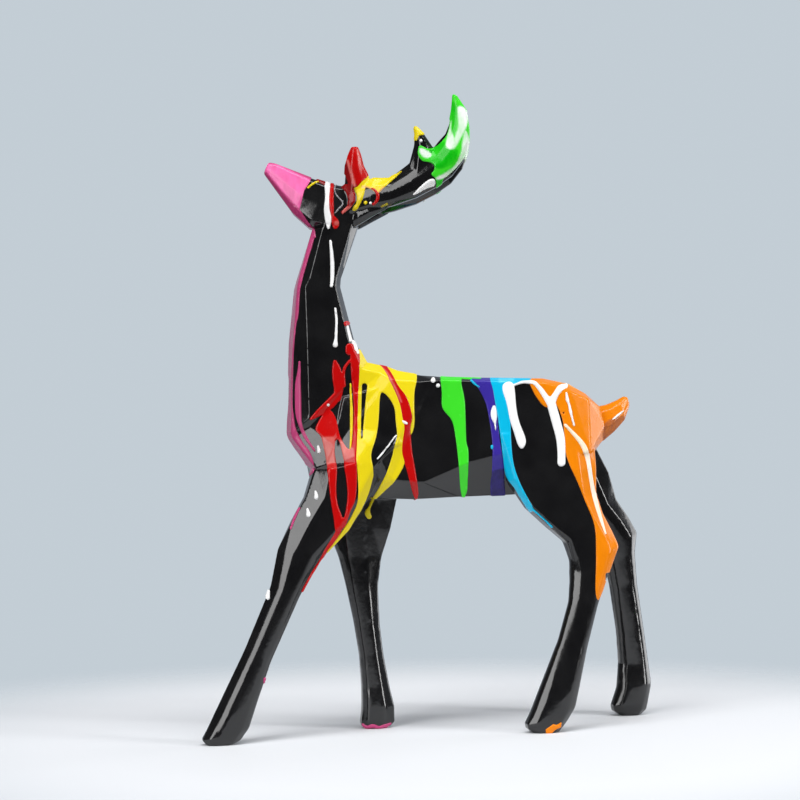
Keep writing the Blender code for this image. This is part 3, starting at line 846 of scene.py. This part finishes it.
def chart(places, normals):
    """Where the enamel's shapes are looked up, and how much room enamel has there (both in pixels)."""
    near, across = mirrored(places)
    spots = pixels(near)
    height = places[:, 2]
    on_head = ramp(height - NECK_TOP, NECK_FADE)
    on_beam = on_head * ramp(BEAM_TOP - height, BEAM_FADE)
    on_leg = ramp(LEG_TOP - height, LEG_FADE)
    on_far = ramp(across - FAR_START, FAR_FADE)

    x, y = spots.T.copy()
    bend = ramp(across, BEND_WIDTH)
    bend = bend * bend * (3 - 2 * bend)
    sway = SLOW_SWAY * np.sin(y / SLOW_WAVE + SLOW_START) + QUICK_SWAY * np.sin(x / QUICK_WAVE)
    set_back = BEAM_SHIFT * on_beam * ramp(BEAM_SHIFT_END - x, BEAM_SHIFT_FADE)
    x += bend * (sway * (1.0 - on_head) - set_back)
    y += bend * np.clip(y - BACK_LINE, 0.0, None) * STRETCH * np.sin(x / STRETCH_WAVE + STRETCH_START)
    spots = np.stack((x, y), axis=1)

    outward = normals[:, 1] * np.sign(across)
    loss = on_far * np.maximum(FAR_LEG_LOSS * on_leg, FAR_BEAM_LOSS * on_beam)
    bare = np.maximum(on_leg, on_far * on_beam)
    room = FACING_ROOM * (outward + FACING_START - loss) + FREE_ROOM * (1.0 - bare)

    facing_near = (across > INNER_START) & (height < INNER_TOP) & (normals[:, 1] < -INNER_FACING)
    spots[facing_near] = pixels(places[facing_near]) + (INNER_SHIFT, 0.0)
    room[facing_near] = FACING_ROOM
    return spots, room


def split_at(places, extras, faces, field, level):
    """Cuts triangles along a level of a vertex field. extras are arrays carried with the vertices."""
    above = field > level
    mixed = above[faces].any(axis=1) & ~above[faces].all(axis=1)
    kept = faces[~mixed]
    cut = faces[mixed]
    lone = np.where(above[cut].sum(axis=1) == 1, above[cut].argmax(axis=1), (~above[cut]).argmax(axis=1))
    rows = np.arange(len(cut))
    a, b, c = (cut[rows, (lone + i) % 3] for i in range(3))
    pairs = np.sort(np.vstack((np.stack((a, b), 1), np.stack((a, c), 1))), axis=1)
    unique, where = np.unique(pairs, axis=0, return_inverse=True)
    where = where.ravel()
    low, high = unique.T
    share = np.clip((level - field[low]) / (field[high] - field[low]), *CUT_RANGE)[:, None]
    fresh = len(places) + where
    ab, ac = fresh[:len(cut)], fresh[len(cut):]

    def between(values):
        flat = values.reshape(len(values), -1)
        added = flat[low] + (flat[high] - flat[low]) * share
        return np.vstack((flat, added)).reshape(-1, *values.shape[1:])

    places = between(places)
    extras = [between(extra) for extra in extras]
    field = np.concatenate((field, np.full(len(unique), level)))
    parts = [np.stack(corners, axis=1) for corners in ((a, ab, ac), (ab, b, c), (ab, c, ac))]
    faces = np.vstack((kept, *parts))
    return places, extras, faces, field


def gradients(places, faces, field):
    """How fast a vertex field changes over the surface, averaged at each vertex."""
    normal = face_normals(places, faces)
    square = np.maximum(np.einsum("ij,ij->i", normal, normal), LEAST_SQUARE)[:, None]
    corners = [places[faces[:, i]] for i in range(3)]
    values = [field[faces[:, i]][:, None] for i in range(3)]
    rise = sum(values[i] * np.cross(normal, corners[i - 1] - corners[i - 2]) for i in range(3))
    total = vertex_sums(rise / square, faces, len(places))
    count = np.bincount(faces.ravel(), minlength=len(places))
    return np.linalg.norm(total, axis=1) / np.maximum(count, 1)


def compact(places, extras, faces):
    """Drops unused vertices."""
    used, index = np.unique(faces, return_inverse=True)
    return places[used], [extra[used] for extra in extras], index.reshape(-1, 3)


def islands(faces, count):
    """The number of the connected island that each vertex belongs to."""
    label = np.arange(count)
    while True:
        lowest = label[faces].min(axis=1)
        fresh = label.copy()
        for i in range(3):
            np.minimum.at(fresh, faces[:, i], lowest)
        fresh = fresh[fresh]
        if np.array_equal(fresh, label):
            return label
        label = fresh


def thinned(name, fine, share):
    """A new object in a fine one's place, with the given share of its triangles."""
    piece = bpy.data.objects.new(name, modified(fine, ("DECIMATE", {"ratio": share})))
    bpy.data.objects.remove(fine)
    bpy.context.scene.collection.objects.link(piece)
    return piece


def tone_amount(shapes, spots):
    """How much of a pale or deep tone each spot takes, with the shapes' outlines blurred; these tones
    mostly paint highlight and shade.
    """
    amount = np.zeros(len(spots))
    for shape in shapes.values():
        amount = np.maximum(amount, np.clip(0.5 + depth_in(shape, spots) / TONE_BLUR, 0.0, 1.0))
    return amount


def outlined(name, cast, spots, room):
    """The cast's surface under one colour: places, [normals, pale, deep, depth (m)] and faces."""
    places, normals, faces = cast
    shapes, gaps = COLOURS[name]["shapes"], COLOURS[name].get("gaps", {})
    field = np.max([depth_in(shape, spots) for shape in shapes.values()], axis=0)
    for gap in gaps.values():
        field = np.minimum(field, -depth_in(gap, spots))
    field = np.minimum(field, room)
    tones = [tone_amount(soft.get(name, {}), spots) for soft in (PALE_TONES_AND_HIGHLIGHTS, DEEP_TONES_AND_SHADE)]

    near = field > -KEPT_MARGIN
    faces = faces[near[faces].any(axis=1)]
    places, (*extras, field), faces = compact(places, [normals, *tones, field], faces)
    depth = field / np.clip(gradients(places, faces, field), *SLOPE_RANGE)
    places, extras, faces, depth = split_at(places, extras, faces, depth, 0.0)
    faces = faces[(depth[faces] >= 0.0).all(axis=1)]
    for level in RIM_LEVELS:
        places, extras, faces, depth = split_at(places, extras, faces, depth, level)
    places, extras, faces = compact(places, [*extras, depth], faces)

    label = islands(faces, len(places))[faces[:, 0]]
    areas = 0.5 * np.linalg.norm(face_normals(places, faces), axis=1)
    sizes = np.bincount(label, areas, len(places))
    return compact(places, extras, faces[sizes[label] > SMALLEST_ISLAND])


def skin(name, cast, spots, room, box):
    """One colour of enamel as a closed raised skin within the box, with its pale and deep tones, mostly
    painted highlight and painted shade, as vertex attributes.
    """
    places, (normals, pale, deep, depth), faces = outlined(name, cast, spots, room)
    crown = np.sqrt(1.0 - (1.0 - np.clip(depth / RIM, 0.0, 1.0)) ** 2)
    height = -SKIN_EDGE + (COLOURS[name]["thickness"] + SKIN_EDGE) * crown
    outer = places + normals * height[:, None]
    under = places - normals * SKIN_DEPTH
    count = len(places)
    edges = edges_of(faces)
    _, index, times = np.unique(np.sort(edges, axis=1), axis=0, return_index=True, return_counts=True)
    start, end = edges[index[times == 1]].T
    halves = ((end, start, start + count), (end, start + count, end + count))
    walls = [np.stack(corners, axis=1) for corners in halves]
    closed = np.vstack((faces, faces[:, ::-1] + count, *walls))
    fine = mesh_object("fine_skin", np.clip(np.vstack((outer, under)), *box), closed)
    for key, amount in (("pale", pale), ("deep", deep)):
        attribute = fine.data.attributes.new(key, "FLOAT", "POINT")
        attribute.data.foreach_set("value", np.tile(amount, 2).astype(np.float32))
    return thinned(name + "_enamel", fine, SKIN_SHARE)


# Materials.


def shader(name, colour, roughness, coat):
    """A new material, and its nodes, links and Principled shader."""
    material = bpy.data.materials.new(name)
    material.use_nodes = True
    material.diffuse_color = (*colour, 1.0)
    nodes = material.node_tree.nodes
    principled = nodes["Principled BSDF"]
    principled.inputs["Base Color"].default_value = (*colour, 1.0)
    principled.inputs["Roughness"].default_value = roughness
    principled.inputs["Coat Weight"].default_value = coat
    principled.inputs["Coat Roughness"].default_value = COAT_ROUGHNESS
    return material, nodes, material.node_tree.links, principled


def noise(nodes, links, scale, detail, stretch=(1.0, 1.0, 1.0)):
    """A noise value fixed to the object."""
    place = nodes.new("ShaderNodeTexCoord")
    mapping = nodes.new("ShaderNodeMapping")
    mapping.inputs["Scale"].default_value = stretch
    texture = nodes.new("ShaderNodeTexNoise")
    texture.inputs["Scale"].default_value = scale
    texture.inputs["Detail"].default_value = detail
    links.new(place.outputs["Object"], mapping.inputs["Vector"])
    links.new(mapping.outputs["Vector"], texture.inputs["Vector"])
    return texture.outputs["Fac"]


def ranged(nodes, links, value, before, after):
    """A value's range changed from one (low, high) to another."""
    change = nodes.new("ShaderNodeMapRange")
    for key, amount in zip(("From Min", "From Max", "To Min", "To Max"), (*before, *after)):
        change.inputs[key].default_value = amount
    links.new(value, change.inputs["Value"])
    return change.outputs["Result"]


def blended(nodes, links, share, first, second):
    """A mix of two colours, each a tuple or a socket."""
    mix = nodes.new("ShaderNodeMix")
    mix.data_type = "RGBA"
    links.new(share, mix.inputs["Factor"])
    for key, colour in (("A", first), ("B", second)):
        socket = next(entry for entry in mix.inputs if entry.name == key and entry.type == "RGBA")
        if isinstance(colour, tuple):
            socket.default_value = (*colour, 1.0)
        else:
            links.new(colour, socket)
    return next(entry for entry in mix.outputs if entry.type == "RGBA")


def ripple(nodes, links, principled, scale, strength, distance):
    """Fine unevenness of a sprayed or poured gloss surface."""
    bump = nodes.new("ShaderNodeBump")
    bump.inputs["Strength"].default_value = strength
    bump.inputs["Distance"].default_value = distance
    links.new(noise(nodes, links, scale, RIPPLE_DETAIL), bump.inputs["Height"])
    links.new(bump.outputs["Normal"], principled.inputs["Normal"])


def black_enamel():
    """Gloss black over the cast, a little uneven."""
    material, nodes, links, principled = shader("black_gloss_resin", BLACK, roughness=0.12, coat=0.3)
    mottle = noise(nodes, links, scale=60.0, detail=4.0)
    share = ranged(nodes, links, mottle, STREAK_RANGE, (0.0, 1.0))
    links.new(blended(nodes, links, share, BLACK_DARKER, BLACK_PALER), principled.inputs["Base Color"])
    haze = noise(nodes, links, scale=140.0, detail=3.0)
    roughness = ranged(nodes, links, haze, NOISE_RANGE, BLACK_ROUGHNESS)
    links.new(roughness, principled.inputs["Roughness"])
    ripple(nodes, links, principled, scale=420.0, strength=0.25, distance=0.0002)
    return material


def coloured_enamel(name):
    """Poured gloss enamel: streaked a little downward, and paler and deeper where the attributes say, which
    paints highlights and shade into its colour.
    """
    plain = COLOURS[name]["plain"]
    material, nodes, links, principled = shader(name + "_paint", plain, roughness=0.22, coat=0.1)
    principled.inputs["Specular IOR Level"].default_value = ENAMEL_SPECULAR
    streaks = noise(nodes, links, scale=90.0, detail=3.0, stretch=(1.0, 1.0, 0.25))
    share = ranged(nodes, links, streaks, STREAK_RANGE, STREAK_STRENGTHS)
    darker = tuple(channel * STREAK_SHADE for channel in plain)
    colour = blended(nodes, links, share, plain, darker)
    cloud = noise(nodes, links, scale=220.0, detail=3.0, stretch=(1.0, 1.0, 0.4))
    for key in ("deep", "pale"):
        attribute = nodes.new("ShaderNodeAttribute")
        attribute.attribute_name = key
        gain = nodes.new("ShaderNodeMath")
        gain.operation = "MULTIPLY"
        links.new(attribute.outputs["Fac"], gain.inputs[0])
        links.new(ranged(nodes, links, cloud, CLOUD_RANGE, CLOUD_STRENGTHS), gain.inputs[1])
        colour = blended(nodes, links, gain.outputs["Value"], colour, COLOURS[name][key])
    links.new(colour, principled.inputs["Base Color"])
    gloss = noise(nodes, links, scale=150.0, detail=2.0)
    roughness = ranged(nodes, links, gloss, NOISE_RANGE, ENAMEL_ROUGHNESS)
    links.new(roughness, principled.inputs["Roughness"])
    ripple(nodes, links, principled, scale=260.0, strength=0.3, distance=0.0003)
    return material


# The stage and its light.


def stage():
    """A pale floor that fades into the background."""
    builder = bmesh.new()
    bmesh.ops.create_circle(builder, cap_ends=True, segments=FLOOR_SIDES, radius=FLOOR_RADIUS)
    mesh = bpy.data.meshes.new("floor")
    builder.to_mesh(mesh)
    builder.free()
    floor = bpy.data.objects.new("floor", mesh)
    bpy.context.scene.collection.objects.link(floor)
    material, nodes, links, principled = shader("floor", FLOOR, roughness=0.7, coat=0.0)
    principled.inputs["Specular IOR Level"].default_value = FLOOR_SPECULAR
    place = nodes.new("ShaderNodeTexCoord")
    distance = nodes.new("ShaderNodeVectorMath")
    distance.operation = "LENGTH"
    links.new(place.outputs["Object"], distance.inputs[0])
    fade = nodes.new("ShaderNodeMapRange")
    fade.interpolation_type = "SMOOTHSTEP"
    fade.inputs["From Min"].default_value, fade.inputs["From Max"].default_value = FLOOR_FADE
    links.new(distance.outputs["Value"], fade.inputs["Value"])
    clear = nodes.new("ShaderNodeBsdfTransparent")
    mix = nodes.new("ShaderNodeMixShader")
    links.new(fade.outputs["Result"], mix.inputs["Fac"])
    links.new(principled.outputs["BSDF"], mix.inputs[1])
    links.new(clear.outputs["BSDF"], mix.inputs[2])
    links.new(mix.outputs["Shader"], nodes["Material Output"].inputs["Surface"])
    floor.data.materials.append(material)


def softbox(name, azimuth, elevation, width, height, radiance):
    """A soft light, placed and sized by angles (degrees) as seen from the figure's middle."""
    turn = math.radians(azimuth)
    rise = math.radians(elevation)
    away = Vector((math.sin(turn) * math.cos(rise), -math.cos(turn) * math.cos(rise), math.sin(rise)))
    wide, high = (2 * LIGHT_DISTANCE * math.tan(math.radians(angle) / 2) for angle in (width, height))
    data = bpy.data.lights.new(name, "AREA")
    data.shape = "RECTANGLE"
    data.size = wide
    data.size_y = high
    data.energy = radiance * math.pi * wide * high
    lamp = bpy.data.objects.new(name, data)
    lamp.location = LIGHT_CENTRE + away * LIGHT_DISTANCE
    lamp.rotation_euler = (-away).to_track_quat("-Z", "Y").to_euler()
    lamp.visible_camera = False
    bpy.context.scene.collection.objects.link(lamp)


def surroundings():
    """A plain backdrop for the camera, and for reflections a dim room with one pale wall."""
    world = bpy.data.worlds.new("studio")
    bpy.context.scene.world = world
    world.use_nodes = True
    nodes = world.node_tree.nodes
    links = world.node_tree.links
    place = nodes.new("ShaderNodeTexCoord")
    toward_wall = nodes.new("ShaderNodeVectorMath")
    toward_wall.operation = "DOT_PRODUCT"
    toward_wall.inputs[1].default_value = WALL_DIRECTION
    links.new(place.outputs["Generated"], toward_wall.inputs[0])
    share = ranged(nodes, links, toward_wall.outputs["Value"], WALL_RANGE, (0.0, 1.0))
    reflected = nodes.new("ShaderNodeBackground")
    links.new(blended(nodes, links, share, ROOM_LIGHT, WALL_LIGHT), reflected.inputs["Color"])
    backdrop = nodes.new("ShaderNodeBackground")
    backdrop.inputs["Color"].default_value = (*BACKDROP, 1.0)
    ray = nodes.new("ShaderNodeLightPath")
    mix = nodes.new("ShaderNodeMixShader")
    links.new(ray.outputs["Is Camera Ray"], mix.inputs["Fac"])
    links.new(reflected.outputs["Background"], mix.inputs[1])
    links.new(backdrop.outputs["Background"], mix.inputs[2])
    links.new(mix.outputs["Shader"], nodes["World Output"].inputs["Surface"])


def lights():
    """Soft light from a tall window, from above, and from a strip and a broad box on the right."""
    softbox("front_left_window", azimuth=-49.0, elevation=18.0, width=26.0, height=54.0, radiance=4.8)
    softbox("overhead_softbox", azimuth=0.0, elevation=70.0, width=60.0, height=22.0, radiance=6.5)
    softbox("right_strip", azimuth=56.0, elevation=14.0, width=10.0, height=44.0, radiance=11.0)
    softbox("right_softbox", azimuth=104.0, elevation=8.0, width=26.0, height=40.0, radiance=3.0)


def main():
    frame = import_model()
    bpy.context.scene.view_settings.view_transform = "Standard"
    camera()
    lights()
    surroundings()
    stage()

    box = [np.array(corner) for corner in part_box("deer_statue")]
    cast = rounded_cast(frame["nodes"]["deer_statue"])
    places, normals, faces = cast
    fine = mesh_object("fine_cast", places, faces)
    body = thinned("deer_cast", fine, min(1.0, CAST_TRIANGLES / len(faces)))
    body.data.materials.clear()
    body.data.materials.append(black_enamel())
    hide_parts("deer_statue")
    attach(body, "root")

    spots, room = chart(places, normals)
    for name in COLOURS:
        piece = skin(name, cast, spots, room, box)
        piece.data.materials.append(coloured_enamel(name))
        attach(piece, "root")


main()
